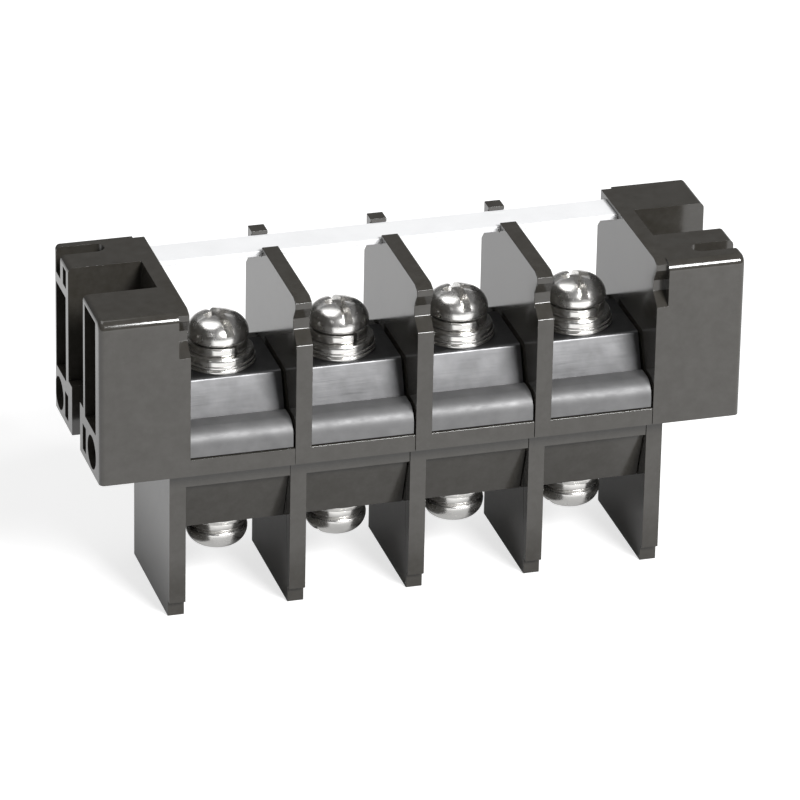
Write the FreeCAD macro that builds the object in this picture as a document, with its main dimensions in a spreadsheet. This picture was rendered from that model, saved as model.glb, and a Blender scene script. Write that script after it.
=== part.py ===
# Panel feed-through barrier terminal strip with four poles, in millimetres.
# X runs along the strip, Y from the front edge to the back, Z up. The origin is at the centre of the
# footprint, on the plane that the lower barriers stand on.
import FreeCAD, Part
import math
import os
import Sketcher
from FreeCAD import Placement, Rotation, Vector

doc = FreeCAD.newDocument("TerminalStrip")
sheet = doc.addObject("Spreadsheet::Sheet", "Sizes")

# Driving dimensions: name, value and what it measures.
SIZES = [
    ("pole_count", 4, "number of poles"),
    ("pitch", 20.0, "distance from one barrier to the next"),
    ("wall", 2.7, "thickness of a barrier"),
    ("joint_gap", 0.06, "gap between two moulded modules"),
    ("body_depth", 31.6, "front to back over a barrier"),
    ("block_length", 12.1, "end block, outer face to barrier"),
    ("block_setback", 0.6, "back of the end block before the back of the barriers"),
    ("block_skin", 0.8, "part of an end barrier that has no cover groove"),
    ("panel_height", 26.7, "panel seat above the foot of the lower barriers"),
    ("barrier_height", 28.5, "top of the barriers above the panel seat"),
    ("face_drop", 7.6, "barrier top to the flat front face"),
    ("slant_drop", 5.6, "barrier top to the top of the slanted front"),
    ("groove_drop", 3.8, "barrier top to the bottom of the undercut"),
    ("nose_drop", 1.6, "barrier top to the bottom of the nose"),
    ("bevel_drop", 0.6, "barrier top to the foot of the bevel on the nose"),
    ("groove_depth", 2.3, "cover groove behind the front face"),
    ("nose_setback", 1.0, "nose behind the front face"),
    ("bevel_depth", 1.5, "bevel on top of the nose, front to back"),
    ("recess_setback", 9.8, "front of the seat of the marker strip before the back of the barriers"),
    ("recess_drop", 1.7, "barrier top to the seat of the marker strip"),
    ("strip_width", 6.3, "marker strip, front to back"),
    ("strip_thickness", 0.9, "marker strip"),
    ("strip_clearance", 0.15, "marker strip to its seat, on each side"),
    ("strip_lift", 0.04, "marker strip above its seat"),
    ("hook_reach", 0.35, "hook over the marker strip"),
    ("hook_width", 2.2, "hook, front to back"),
    ("hook_clearance", 0.1, "under the hook"),
    ("hook_foot", 2.5, "bottom of the hook stem below its top"),
    ("tail_setback", 2.4, "waist of the hook before the rear edge"),
    ("tail_drop", 4.3, "barrier top to the waist of the hook"),
    ("shoulder_drop", 6.9, "barrier top to the straight rear edge"),
    ("end_shoulder", 1.2, "step in the rear edge of an end barrier"),
    ("neck_front", 2.9, "front of the neck that passes the panel"),
    ("neck_rear", 26.4, "back of the neck that passes the panel"),
    ("tab_height", 2.7, "catch at the foot of a lower barrier"),
    ("tab_setback", 1.0, "catch behind the front of the lower barrier"),
    ("flange_height", 2.9, "flange that lies on the panel"),
    ("ledge_front", 0.3, "front of the ledge behind the flange edge"),
    ("ledge_height", 7.4, "top of the ledge above the panel"),
    ("ledge_round", 2.6, "nose of the ledge"),
    ("crevice_height", 0.22, "groove between flange and ledge"),
    ("crevice_depth", 0.5, "groove between flange and ledge"),
    ("ledge_gap", 0.3, "end of the ledge to the next barrier"),
    ("ramp_foot", 5.4, "front of the foot of the metal ramp"),
    ("ramp_top", 7.9, "front of the bend on top of the ramp"),
    ("ramp_drop", 0.5, "foot of the ramp below the ledge"),
    ("plate_height", 13.2, "upper clamping face above the panel"),
    ("plate_depth", 12.2, "lower clamping face below the panel"),
    ("plate_thickness", 1.2, "clamping plate"),
    ("plate_rear", 20.7, "back of the clamping plates"),
    ("plate_side", 0.4, "clamping plate to the barriers"),
    ("seat_clearance", 0.05, "metal to its plastic seat"),
    ("lower_start", 8.3, "front of the lower clamping plate"),
    ("stem_width", 9.6, "square bar that joins both plates"),
    ("stem_clearance", 0.15, "bar to its hole"),
    ("deck_slope_start", 24.8, "where the deck starts to fall to the back"),
    ("deck_setback", 1.3, "back of the deck before the back of the barriers"),
    ("deck_rear_height", 9.4, "back edge of the deck above the panel"),
    ("lip_depth", 3.3, "upright part of the neck below the panel"),
    ("lip_step", 1.0, "step behind the upright part"),
    ("skirt_front", 6.9, "foot of the leaning lower wall"),
    ("skirt_thickness", 1.1, "foot of the leaning lower wall"),
    ("skirt_drop", 0.2, "lower wall below the lower clamping face"),
    ("core_slope_start", 22.0, "where the underside starts to rise to the back"),
    ("core_rear_depth", 8.0, "back edge of the underside below the panel"),
    ("screw_axis", 14.3, "screw axis behind the front face"),
    ("axis_shift", 0.6, "screw axis left of the middle of the bay"),
    ("thread_diameter", 5.0, "clamping screw"),
    ("thread_clearance", 0.05, "screw to its tapped hole, on the radius"),
    ("shank_length", 14.0, "screw below its head"),
    ("shank_chamfer", 0.5, "tip of the screw"),
    ("head_diameter", 10.1, "head of the screw"),
    ("head_height", 4.3, "head of the screw"),
    ("head_crown", 5.75, "radius of the domed top of the head"),
    ("head_round", 0.6, "rounding between the side and the dome of the head"),
    ("slot_width", 1.25, "driver slot"),
    ("slot_depth", 2.0, "driver slot"),
    ("cross_length", 5.2, "cross recess, tip to tip"),
    ("cross_width", 1.5, "cross recess"),
    ("cross_depth", 2.6, "cross recess"),
    ("slot_turn", 5.0, "angle of the driver slot to the depth of the strip"),
    ("ring_diameter", 9.8, "spring washer"),
    ("ring_hole", 5.4, "hole of both washers"),
    ("ring_thickness", 1.6, "spring washer"),
    ("ring_split", 0.7, "gap in the spring washer"),
    ("split_turn", 24.0, "angle of the gap from the front of the strip"),
    ("ring_round", 0.35, "edges of the spring washer"),
    ("disc_diameter", 12.5, "flat washer"),
    ("disc_thickness", 1.25, "flat washer"),
    ("disc_round", 0.25, "edges of the flat washer"),
    ("collar_diameter", 11.9, "raised collar of the flat washer"),
    ("upper_collar", 1.15, "height of the collar above the panel"),
    ("lower_collar", 0.5, "height of the collar behind the panel"),
    ("collar_round", 0.2, "edge of the raised collar"),
    ("stack_gap", 0.03, "between head, washers and plate"),
    ("channel_front", 11.1, "front of the mounting channel"),
    ("channel_rear", 21.3, "back of the mounting channel"),
    ("channel_seat", 8.6, "seat of the mounting screw above the panel"),
    ("slot_clear", 5.5, "mounting slot, front to back"),
    ("slot_end", 1.6, "end of the mounting slot to the barrier"),
    ("rim", 1.1, "ribs around the pockets of an end block"),
    ("front_rim", 2.8, "front wall of an end block pocket"),
    ("rear_rim", 1.4, "back wall of an end block pocket"),
    ("pocket_depth", 8.0, "pockets in the outer face"),
    ("pocket_floor", 7.7, "bottom of the tall pocket"),
    ("notch_drop", 4.2, "slot in the top of a leg, top to bottom"),
    ("notch_width", 3.0, "slot in the top of a leg"),
    ("notch_length", 7.6, "slot in the top of a leg"),
    ("notch_front", 3.3, "slot of the right block behind its front"),
    ("small_width", 2.2, "small pockets, front to back"),
    ("small_bottom", 1.2, "bottom of the low small pocket"),
    ("small_height", 4.5, "low small pocket"),
    ("block_round", 1.7, "top front edge of an end block"),
    ("end_round", 0.9, "outer edges of an end block"),
    ("tie_front", 5.5, "front tie screw behind the front face"),
    ("tie_rear", 3.4, "rear tie screw before the back of the end block"),
    ("tie_height", 3.5, "tie screws above the panel"),
    ("tie_diameter", 3.0, "tie screw"),
    ("tie_clearance", 0.15, "tie screw to its hole"),
    ("tie_head", 5.2, "head and nut of a tie screw"),
    ("tie_head_height", 2.2, "head and nut of a tie screw"),
    ("tie_pocket", 5.6, "round pocket for a tie screw head"),
]

value = {}
for row, (name, number, note) in enumerate(SIZES, start=1):
    sheet.set("A%d" % row, name)
    sheet.set("B%d" % row, str(number))
    sheet.set("C%d" % row, note)
    sheet.setAlias("B%d" % row, name)
    value[name] = float(number)
doc.recompute()

# Plain numbers that a sum may hold beside the sizes: nothing, and the overrun of a cut past an open face.
PLAIN = {"zero": 0.0, "over": 1.0}
THROUGH_ALL = 1


def terms(formula):
    """Split a sum such as "panel_height + wall/2" into (sign, name, divisor)."""
    sign = 1
    for word in formula.split():
        if word in ("+", "-"):
            sign = 1 if word == "+" else -1
            continue
        name, _, divisor = word.partition("/")
        yield sign, name, float(divisor or 1)
        sign = 1


def number(formula):
    """Value of a sum of named sizes."""
    sizes = {**value, **PLAIN}
    return sum(sign * sizes[name] / divisor for sign, name, divisor in terms(formula))


def link(formula):
    """The same sum as an expression on the sheet."""
    parts = []
    for sign, name, divisor in terms(formula):
        cell = "Sizes." + name if name in value else str(PLAIN[name])
        parts.append("%s %s / %g" % ("+" if sign > 0 else "-", cell, divisor))
    return "0 " + " ".join(parts)


def bind(thing, prop, formula):
    thing.setExpression(prop, link(formula))


def new_body(label, x, y, z, rotation=None):
    """A body whose own origin lies at the named place."""
    body = doc.addObject("PartDesign::Body", label)
    body.Label = label
    body.Placement = Placement(Vector(number(x), number(y), number(z)), rotation or Rotation())
    for axis, formula in zip("xyz", (x, y, z)):
        bind(body, "Placement.Base." + axis, formula)
    return body


def new_sketch(body, name, role, shift=None):
    sketch = body.newObject("Sketcher::SketchObject", name)
    plane = [entry for entry in body.Origin.OriginFeatures if entry.Role == role][0]
    sketch.AttachmentSupport = [(plane, "")]
    sketch.MapMode = "FlatFace"
    if shift:
        bind(sketch, "AttachmentOffset.Base.z", shift)
    return sketch


def turn_sketch(sketch, angle):
    """Turn the sketch in its own plane by a named angle in degrees."""
    bind(sketch, "AttachmentOffset.Rotation.Angle", angle)


def hold(sketch, kind, place, formula):
    """Tie one point of the sketch to the origin of the sketch."""
    index = sketch.addConstraint(Sketcher.Constraint(kind, -1, 1, place[0], place[1], number(formula)))
    sketch.setExpression("Constraints[%d]" % index, link(formula))


def rounded_edge(start, end, radius):
    """Arc from start to end that turns clockwise, and its geometry stored counter-clockwise."""
    middle = (start + end) * 0.5
    chord = end - start
    height = math.sqrt(radius * radius - chord.Length * chord.Length / 4)
    right = Vector(chord.y, -chord.x, 0).normalize()
    centre = middle + right * height
    circle = Part.Circle(centre, Vector(0, 0, 1), radius)
    first = math.atan2(end.y - centre.y, end.x - centre.x)
    last = math.atan2(start.y - centre.y, start.x - centre.x)
    return Part.ArcOfCircle(circle, first, last)


def draw_outline(sketch, corners):
    """Closed clockwise outline: corners held by named sums, with an arc after a corner that has a radius."""
    spots = [Vector(number(corner[0]), number(corner[1]), 0) for corner in corners]
    first = sketch.GeometryCount
    count = len(spots)
    for i, corner in enumerate(corners):
        after = spots[(i + 1) % count]
        if len(corner) > 2:
            sketch.addGeometry(rounded_edge(spots[i], after, number(corner[2])), False)
        else:
            sketch.addGeometry(Part.LineSegment(spots[i], after), False)

    def point(i, at_start):
        """An arc keeps its own ends in counter-clockwise order."""
        turned = len(corners[i]) > 2
        return (first + i, 1 if at_start != turned else 2)
    for i in range(count):
        after = (i + 1) % count
        sketch.addConstraint(Sketcher.Constraint("Coincident", *point(i, False), *point(after, True)))
    for i, corner in enumerate(corners):
        hold(sketch, "DistanceX", point(i, True), corner[0])
        hold(sketch, "DistanceY", point(i, True), corner[1])
        if len(corner) > 2:
            size = sketch.addConstraint(Sketcher.Constraint("Radius", first + i, number(corner[2])))
            sketch.setExpression("Constraints[%d]" % size, link(corner[2]))


def draw_box(sketch, left, right, bottom, top):
    draw_outline(sketch, [(left, bottom), (right, bottom), (right, top), (left, top)])


def draw_open_slot(sketch, mouth, stop, middle, half, toward):
    """Slot along X from its open mouth to a half-round end, toward +X or -X."""
    if toward > 0:
        end = stop + " - " + half
        draw_outline(sketch, [
            (mouth, middle + " - " + half),
            (mouth, middle + " + " + half),
            (end, middle + " + " + half, half),
            (stop, middle, half),
            (end, middle + " - " + half),
        ])
        return
    end = stop + " + " + half
    draw_outline(sketch, [
        (mouth, middle + " + " + half),
        (mouth, middle + " - " + half),
        (end, middle + " - " + half, half),
        (stop, middle, half),
        (end, middle + " + " + half),
    ])


def draw_circle(sketch, across, up, diameter):
    centre = Vector(number(across), number(up), 0)
    index = sketch.addGeometry(Part.Circle(centre, Vector(0, 0, 1), number(diameter) / 2), False)
    hold(sketch, "DistanceX", (index, 3), across)
    hold(sketch, "DistanceY", (index, 3), up)
    size = sketch.addConstraint(Sketcher.Constraint("Diameter", index, number(diameter)))
    sketch.setExpression("Constraints[%d]" % size, link(diameter))


def pad(body, sketch, length):
    feature = body.newObject("PartDesign::Pad", sketch.Name + "Pad")
    feature.Profile = sketch
    feature.Length = number(length)
    bind(feature, "Length", length)
    sketch.Visibility = False
    doc.recompute()
    return feature


def pocket(body, sketch, length=None, forward=False):
    """Cut against the normal of the sketch, or along it, or right through both ways."""
    before = body.Shape.Volume
    feature = body.newObject("PartDesign::Pocket", sketch.Name + "Pocket")
    feature.Profile = sketch
    if length:
        feature.Length = number(length)
        bind(feature, "Length", length)
        feature.Reversed = forward
    else:
        feature.Type = THROUGH_ALL
        feature.Midplane = True
    doc.recompute()
    if not body.Shape.Volume < before:
        raise RuntimeError(sketch.Name + " cuts nothing")
    return feature


def round_edges(body, name, radius, wanted):
    """Fillet the edges of the body whose two ends pass the test."""
    base = body.Tip
    names = []
    for i, edge in enumerate(base.Shape.Edges, start=1):
        ends = [vertex.Point for vertex in edge.Vertexes]
        if wanted(edge, ends):
            names.append("Edge%d" % i)
    if not names:
        raise RuntimeError(name + " finds no edge")
    fillet = body.newObject("PartDesign::Fillet", name)
    fillet.Base = (base, names)
    fillet.Radius = number(radius)
    bind(fillet, "Radius", radius)
    doc.recompute()
    if not fillet.isValid():
        raise RuntimeError(name + " can't be made")
    return fillet


def near(a, b):
    return abs(a - b) < 1e-4


def along_x(y, z):
    """Test for an edge that runs along X at one height and depth."""
    def test(edge, ends):
        return len(ends) == 2 and all(near(p.y, number(y)) and near(p.z, number(z)) for p in ends)
    return test


# Heights above and below the panel seat, as sums from the foot of the strip.
def above(name):
    return "panel_height + " + name


def below(name):
    return "panel_height - " + name


# Places along the strip: the left face of each barrier, and the middle of each bay.
BARRIER_COUNT = int(value["pole_count"]) + 1


def barrier_place(k):
    """Left face of barrier k, counted from 0, with the row of barriers centred on X = 0."""
    steps = " ".join("+ pitch" for _ in range(k))
    halves = " ".join("- pitch/2" for _ in range(int(value["pole_count"])))
    return "%s - wall/2 %s" % (halves, steps)


def bay_place(k):
    return barrier_place(k) + " + pitch/2 + wall/2"


def axis_place(k):
    return bay_place(k) + " - axis_shift"


FRONT = "- body_depth/2"
BLOCK_REAR = "body_depth - block_setback"
TIE_PLACES = {"front": "tie_front", "rear": BLOCK_REAR + " - tie_rear"}


# Side outline of a barrier: lower part, front with cover groove, top, back.
def lower_front():
    return [
        ("neck_front + tab_setback", "zero"),
        ("neck_front + tab_setback", "tab_height"),
        ("neck_front", "tab_height"),
        ("neck_front", "panel_height"),
        ("zero", "panel_height"),
        ("zero", above("barrier_height - face_drop")),
        ("groove_depth", above("barrier_height - slant_drop")),
        ("groove_depth", above("barrier_height - groove_drop")),
        ("nose_setback", above("barrier_height - nose_drop")),
        ("nose_setback", above("barrier_height - bevel_drop")),
        ("nose_setback + bevel_depth", above("barrier_height")),
    ]


def lower_rear():
    return [
        ("body_depth", above("barrier_height - shoulder_drop")),
        ("body_depth", "panel_height"),
        ("neck_rear", "panel_height"),
        ("neck_rear", "zero"),
    ]


RECESS_FRONT = "body_depth - recess_setback"
HOOK_FRONT = RECESS_FRONT + " + strip_width + strip_clearance + strip_clearance"
HOOK_UNDER = above("barrier_height - recess_drop + strip_lift + strip_thickness + hook_clearance")


def middle_barrier():
    """A barrier between two poles, with the open seat and the hook for the marker strip."""
    return lower_front() + [
        (RECESS_FRONT, above("barrier_height")),
        (RECESS_FRONT, above("barrier_height - recess_drop")),
        (HOOK_FRONT, above("barrier_height - recess_drop")),
        (HOOK_FRONT, HOOK_UNDER),
        (HOOK_FRONT + " - hook_reach", HOOK_UNDER),
        (HOOK_FRONT + " - hook_reach", above("barrier_height")),
        (HOOK_FRONT + " + hook_width", above("barrier_height")),
        (HOOK_FRONT + " + hook_width", above("barrier_height - hook_foot")),
        ("body_depth - tail_setback", above("barrier_height - tail_drop")),
    ] + lower_rear()


def end_barrier():
    """The barrier beside an end block, closed above the marker strip."""
    return lower_front() + [
        ("body_depth - end_shoulder", above("barrier_height")),
        ("body_depth - end_shoulder", above("barrier_height - shoulder_drop + end_shoulder")),
    ] + lower_rear()


def add_barrier(body, outline):
    sketch = new_sketch(body, body.Label + "_barrier", "YZ_Plane")
    draw_outline(sketch, outline)
    pad(body, sketch, "wall")


def add_floor(body):
    """Flange, neck, leaning lower wall and deck of one pole, up to the next module."""
    flange = new_sketch(body, body.Label + "_flange", "YZ_Plane")
    draw_outline(flange, [
        ("zero", "panel_height"),
        ("zero", above("flange_height")),
        ("body_depth", above("flange_height")),
        ("body_depth", "panel_height"),
        ("neck_rear", "panel_height"),
        ("neck_rear", below("core_rear_depth")),
        ("core_slope_start", below("plate_depth + plate_thickness")),
        ("skirt_front + skirt_thickness", below("plate_depth + plate_thickness")),
        ("skirt_front + skirt_thickness", below("plate_depth - skirt_drop")),
        ("skirt_front", below("plate_depth - skirt_drop")),
        ("neck_front + lip_step", below("lip_depth")),
        ("neck_front", below("lip_depth")),
        ("neck_front", "panel_height"),
    ])
    pad(body, flange, "pitch - joint_gap")
    deck = new_sketch(body, body.Label + "_deck", "YZ_Plane")
    draw_outline(deck, [
        ("ledge_front + crevice_depth", "panel_height"),
        ("ledge_front + crevice_depth", above("flange_height + crevice_height")),
        ("ledge_front", above("flange_height + crevice_height")),
        ("ledge_front", above("ledge_height")),
        ("ramp_foot - seat_clearance", above("ledge_height")),
        ("ramp_foot - seat_clearance", above("ledge_height - ramp_drop - seat_clearance")),
        ("ramp_foot + plate_thickness + seat_clearance",
         above("ledge_height - ramp_drop - seat_clearance")),
        ("ramp_top + plate_thickness + seat_clearance", above("plate_height - plate_thickness")),
        ("deck_slope_start", above("plate_height - plate_thickness")),
        ("body_depth - deck_setback", above("deck_rear_height")),
        ("body_depth - deck_setback", "panel_height"),
    ])
    pad(body, deck, "pitch - ledge_gap")
    round_edges(body, body.Label + "_ledge_nose", "ledge_round",
                along_x("ledge_front", above("ledge_height")))


def add_stem_hole(body):
    """Square hole for the bar that joins the upper and the lower clamping plate."""
    hole = new_sketch(body, body.Label + "_stem", "XY_Plane", above("plate_height"))
    middle = "pitch/2 + wall/2 - axis_shift"
    draw_box(hole, middle + " - stem_width/2 - stem_clearance",
             middle + " + stem_width/2 + stem_clearance",
             "screw_axis - stem_width/2 - stem_clearance",
             "screw_axis + stem_width/2 + stem_clearance")
    pocket(body, hole, "plate_height + panel_height")


def add_tie_holes(body):
    holes = new_sketch(body, body.Label + "_ties", "YZ_Plane")
    for depth in TIE_PLACES.values():
        draw_circle(holes, depth, above("tie_height"), "tie_diameter + tie_clearance + tie_clearance")
    pocket(body, holes)


# Pole modules between the end housings.
def make_pole_housing(k):
    body = new_body("pole_housing_%d" % (k + 1), barrier_place(k), FRONT, "zero")
    add_barrier(body, middle_barrier())
    add_floor(body)
    add_stem_hole(body)
    add_tie_holes(body)
    return body


# End blocks: a block with an open channel for the mounting screw and cored outer face.
def add_block(body, outer, inner):
    """Solid end block between two places on X, the outer one first."""
    left, right = (outer, inner) if number(outer) < number(inner) else (inner, outer)
    block = new_sketch(body, body.Label + "_block", "XY_Plane", "panel_height")
    draw_box(block, left, right, "zero", BLOCK_REAR)
    pad(body, block, "barrier_height")

    def top_front(edge, ends):
        level = all(near(p.z, number(above("barrier_height"))) and near(p.y, 0) for p in ends)
        return level and len(ends) == 2
    round_edges(body, body.Label + "_top_front", "block_round", top_front)

    def outer_edge(edge, ends):
        if len(ends) != 2 or not all(near(p.x, number(outer)) for p in ends):
            return False
        upright = near(ends[0].y, ends[1].y) and edge.Length > value["barrier_height"] / 2
        top = all(near(p.z, number(above("barrier_height"))) for p in ends)
        return upright or top
    round_edges(body, body.Label + "_outer", "end_round", outer_edge)


def cut_channel(body, outer, inner, toward):
    """Channel for the head of the mounting screw, and below it the narrower slot for its shank."""
    past = outer + (" - over" if toward > 0 else " + over")
    stop = inner + (" - slot_end" if toward > 0 else " + slot_end")
    left, right = (past, inner) if toward > 0 else (inner, past)
    wide = new_sketch(body, body.Label + "_channel", "XY_Plane", above("barrier_height"))
    draw_box(wide, left, right, "channel_front", "channel_rear")
    pocket(body, wide, "barrier_height - channel_seat")
    narrow = new_sketch(body, body.Label + "_slot", "XY_Plane", above("channel_seat"))
    draw_open_slot(narrow, past, stop, "channel_front/2 + channel_rear/2", "slot_clear/2", toward)
    pocket(body, narrow, "channel_seat")


def cut_outer_pockets(body, outer, toward, boxes):
    """Cored pockets in the outer face, each a box given front, back, bottom and top."""
    face = new_sketch(body, body.Label + "_cores", "YZ_Plane", outer)
    for front, back, bottom, top in boxes:
        draw_box(face, front, back, bottom, top)
    pocket(body, face, "pocket_depth", forward=toward > 0)
    rounds = new_sketch(body, body.Label + "_tie_pockets", "YZ_Plane", outer)
    for depth in TIE_PLACES.values():
        draw_circle(rounds, depth, above("tie_height"), "tie_pocket")
    pocket(body, rounds, "pocket_depth", forward=toward > 0)


def cut_top_notch(body, outer, toward, front):
    """Slot in the top of one leg, open to the outer face."""
    past = outer + (" - over" if toward > 0 else " + over")
    stop = outer + (" + notch_length" if toward > 0 else " - notch_length")
    notch = new_sketch(body, body.Label + "_notch", "XY_Plane", above("barrier_height"))
    draw_open_slot(notch, past, stop, front + " + notch_width/2", "notch_width/2", toward)
    pocket(body, notch, "notch_drop")


LOW = (above("small_bottom"), above("small_bottom + small_height"))
TALL = (above("pocket_floor"), above("barrier_height - rim"))
SHORT = (above("pocket_floor"), above("barrier_height - notch_drop - rim - rim/2"))
HIGH = (above("barrier_height - notch_drop"), above("barrier_height - rim"))
LEG_FRONT_LOW = "channel_front - small_width + rim/2"
LEG_REAR_LOW = "channel_rear + rim/4"


def plain_leg(front, back, low):
    """Cores of a leg whose top is closed: one tall pocket and a low small one."""
    return [(front, back) + TALL, (low, low + " + small_width") + LOW]


def notched_leg(front, back, low, high):
    """Cores of a leg with a slot in its top: a shorter pocket, and small ones above and below."""
    return [
        (front, back) + SHORT,
        (low, low + " + small_width") + LOW,
        (high, high + " + small_width") + HIGH,
    ]


def cut_strip_seat(body, face, forward=False):
    """Blind seat for the end of the marker strip in the inner face of an end barrier."""
    seat = new_sketch(body, body.Label + "_strip_seat", "YZ_Plane", face)
    draw_box(seat, RECESS_FRONT, HOOK_FRONT, above("barrier_height - recess_drop"), HOOK_UNDER)
    pocket(body, seat, "wall - block_skin", forward)


def make_left_housing():
    body = new_body("left_end_housing", barrier_place(0), FRONT, "zero")
    outer = "- block_length"
    add_block(body, outer, "block_skin")
    add_barrier(body, end_barrier())
    add_floor(body)
    cut_channel(body, outer, "zero", 1)
    notch_front = BLOCK_REAR + " - rear_rim - notch_width"
    cut_top_notch(body, outer, 1, notch_front)
    cut_outer_pockets(body, outer, 1, plain_leg(
        "front_rim", "channel_front - rim", LEG_FRONT_LOW,
    ) + notched_leg(
        "channel_rear + rim + rim/2", BLOCK_REAR + " - rear_rim", LEG_REAR_LOW, "channel_rear + rim + rim/4",
    ))
    add_stem_hole(body)
    add_tie_holes(body)
    cut_strip_seat(body, "wall")
    return body


def make_right_housing():
    last = BARRIER_COUNT - 1
    body = new_body("right_end_housing", barrier_place(last), FRONT, "zero")
    outer = "wall + block_length"
    add_block(body, outer, "wall - block_skin")
    add_barrier(body, end_barrier())
    cut_channel(body, outer, "wall", -1)
    cut_top_notch(body, outer, -1, "notch_front")
    cut_outer_pockets(body, outer, -1, notched_leg(
        "front_rim", "channel_front - rim", LEG_FRONT_LOW, "channel_front - small_width - rim - rim/4",
    ) + plain_leg(
        "channel_rear + rim + rim/2", BLOCK_REAR + " - rear_rim", LEG_REAR_LOW,
    ))
    add_tie_holes(body)
    cut_strip_seat(body, "zero", forward=True)
    return body


# Conductor: upper plate with its ramp, square bar through the housing, lower plate.
def make_conductor(k):
    body = new_body("conductor_%d" % (k + 1), axis_place(k), FRONT, "zero")
    left_side = "- pitch/2 + wall/2 + plate_side + axis_shift"
    width = "pitch - wall - plate_side - plate_side"
    upper = new_sketch(body, body.Label + "_upper", "YZ_Plane", left_side)
    draw_outline(upper, [
        ("plate_rear", above("plate_height - plate_thickness + seat_clearance")),
        ("plate_rear", above("plate_height")),
        ("ramp_top", above("plate_height")),
        ("ramp_foot", above("ledge_height - ramp_drop")),
        ("ramp_foot + plate_thickness", above("ledge_height - ramp_drop")),
        ("ramp_top + plate_thickness", above("plate_height - plate_thickness + seat_clearance")),
    ])
    pad(body, upper, width)
    round_edges(body, body.Label + "_bend", "plate_thickness/2",
                along_x("ramp_top", above("plate_height")))
    stem = new_sketch(body, body.Label + "_stem", "XY_Plane", below("plate_depth"))
    draw_box(stem, "- stem_width/2", "stem_width/2",
             "screw_axis - stem_width/2", "screw_axis + stem_width/2")
    pad(body, stem, "plate_depth + plate_height - plate_thickness/2")
    lower = new_sketch(body, body.Label + "_lower", "YZ_Plane", left_side)
    draw_box(lower, "lower_start", "plate_rear",
             below("plate_depth"), below("plate_depth + plate_thickness - seat_clearance"))
    pad(body, lower, width)
    bore = new_sketch(body, body.Label + "_bore", "XY_Plane", above("plate_height"))
    draw_circle(bore, "zero", "screw_axis", "thread_diameter + thread_clearance + thread_clearance")
    pocket(body, bore, "plate_height + plate_depth")
    return body


# Clamping screw with its washers, standing on the plane Z = 0 of its own frame.
def collar(upward):
    return "upper_collar" if upward else "lower_collar"


def ring_seat(upward):
    """Underside of the spring washer."""
    return "stack_gap + disc_thickness + " + collar(upward) + " + stack_gap"


def head_seat(upward):
    """Underside of the screw head."""
    return ring_seat(upward) + " + ring_thickness + stack_gap"


def place_stack(label, k, upward):
    if upward:
        return new_body(label, axis_place(k), FRONT + " + screw_axis", above("plate_height"))
    over = Rotation(Vector(1, 0, 0), 180)
    return new_body(label, axis_place(k), FRONT + " + screw_axis", below("plate_depth"), over)


def draw_screw_section(sketch, tip, seat, top):
    """Half section of a screw: a domed head whose crown is centred on the axis, and a plain shank."""
    half = value["head_diameter"] / 2
    crown = value["head_crown"]
    centre = number(top) - crown
    rim = centre + math.sqrt(crown * crown - half * half)
    circle = Part.Circle(Vector(0, centre, 0), Vector(0, 0, 1), crown)
    sketch.addGeometry(Part.ArcOfCircle(circle, math.atan2(rim - centre, half), math.pi / 2), False)
    corners = [
        ("head_diameter/2", seat),
        ("thread_diameter/2", seat),
        ("thread_diameter/2", tip + " + shank_chamfer"),
        ("thread_diameter/2 - shank_chamfer", tip),
        ("zero", tip),
        ("zero", top),
    ]
    last = Vector(half, rim, 0)
    for across, up in corners:
        corner = Vector(number(across), number(up), 0)
        line = sketch.addGeometry(Part.LineSegment(last, corner), False)
        sketch.addConstraint(Sketcher.Constraint("Coincident", line, 1, line - 1, 1 if line == 1 else 2))
        hold(sketch, "DistanceX", (line, 2), across)
        hold(sketch, "DistanceY", (line, 2), up)
        last = corner
    sketch.addConstraint(Sketcher.Constraint("Coincident", line, 2, 0, 2))
    sketch.addConstraint(Sketcher.Constraint("PointOnObject", 0, 3, -2))
    size = sketch.addConstraint(Sketcher.Constraint("Radius", 0, crown))
    sketch.setExpression("Constraints[%d]" % size, link("head_crown"))
    hold(sketch, "DistanceX", (0, 1), "head_diameter/2")


def make_screw(label, k, upward):
    body = place_stack(label, k, upward)
    section = new_sketch(body, label + "_section", "XZ_Plane")
    seat = head_seat(upward)
    tip = seat + " - shank_length"
    top = seat + " + head_height"
    draw_screw_section(section, tip, seat, top)
    turned = body.newObject("PartDesign::Revolution", label + "_turned")
    turned.Profile = section
    turned.ReferenceAxis = (section, ["V_Axis"])
    turned.Angle = 360
    doc.recompute()

    def rim_edge(edge, ends):
        side = all(near(math.hypot(p.x, p.y), value["head_diameter"] / 2) for p in ends)
        return side and all(p.z > number(seat) + value["head_round"] for p in ends)
    round_edges(body, label + "_dome", "head_round", rim_edge)
    slot = new_sketch(body, label + "_slot", "XY_Plane", top)
    draw_box(slot, "- slot_width/2", "slot_width/2", "- head_diameter", "head_diameter")
    turn_sketch(slot, "slot_turn")
    pocket(body, slot, "slot_depth")
    cross = new_sketch(body, label + "_cross", "XY_Plane", top)
    draw_outline(cross, [
        ("cross_width/2", "cross_width/2"),
        ("cross_width/2", "cross_length/2"),
        ("- cross_width/2", "cross_length/2"),
        ("- cross_width/2", "cross_width/2"),
        ("- cross_length/2", "cross_width/2"),
        ("- cross_length/2", "- cross_width/2"),
        ("- cross_width/2", "- cross_width/2"),
        ("- cross_width/2", "- cross_length/2"),
        ("cross_width/2", "- cross_length/2"),
        ("cross_width/2", "- cross_width/2"),
        ("cross_length/2", "- cross_width/2"),
        ("cross_length/2", "cross_width/2"),
    ])
    turn_sketch(cross, "slot_turn")
    pocket(body, cross, "cross_depth")
    return body


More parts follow.
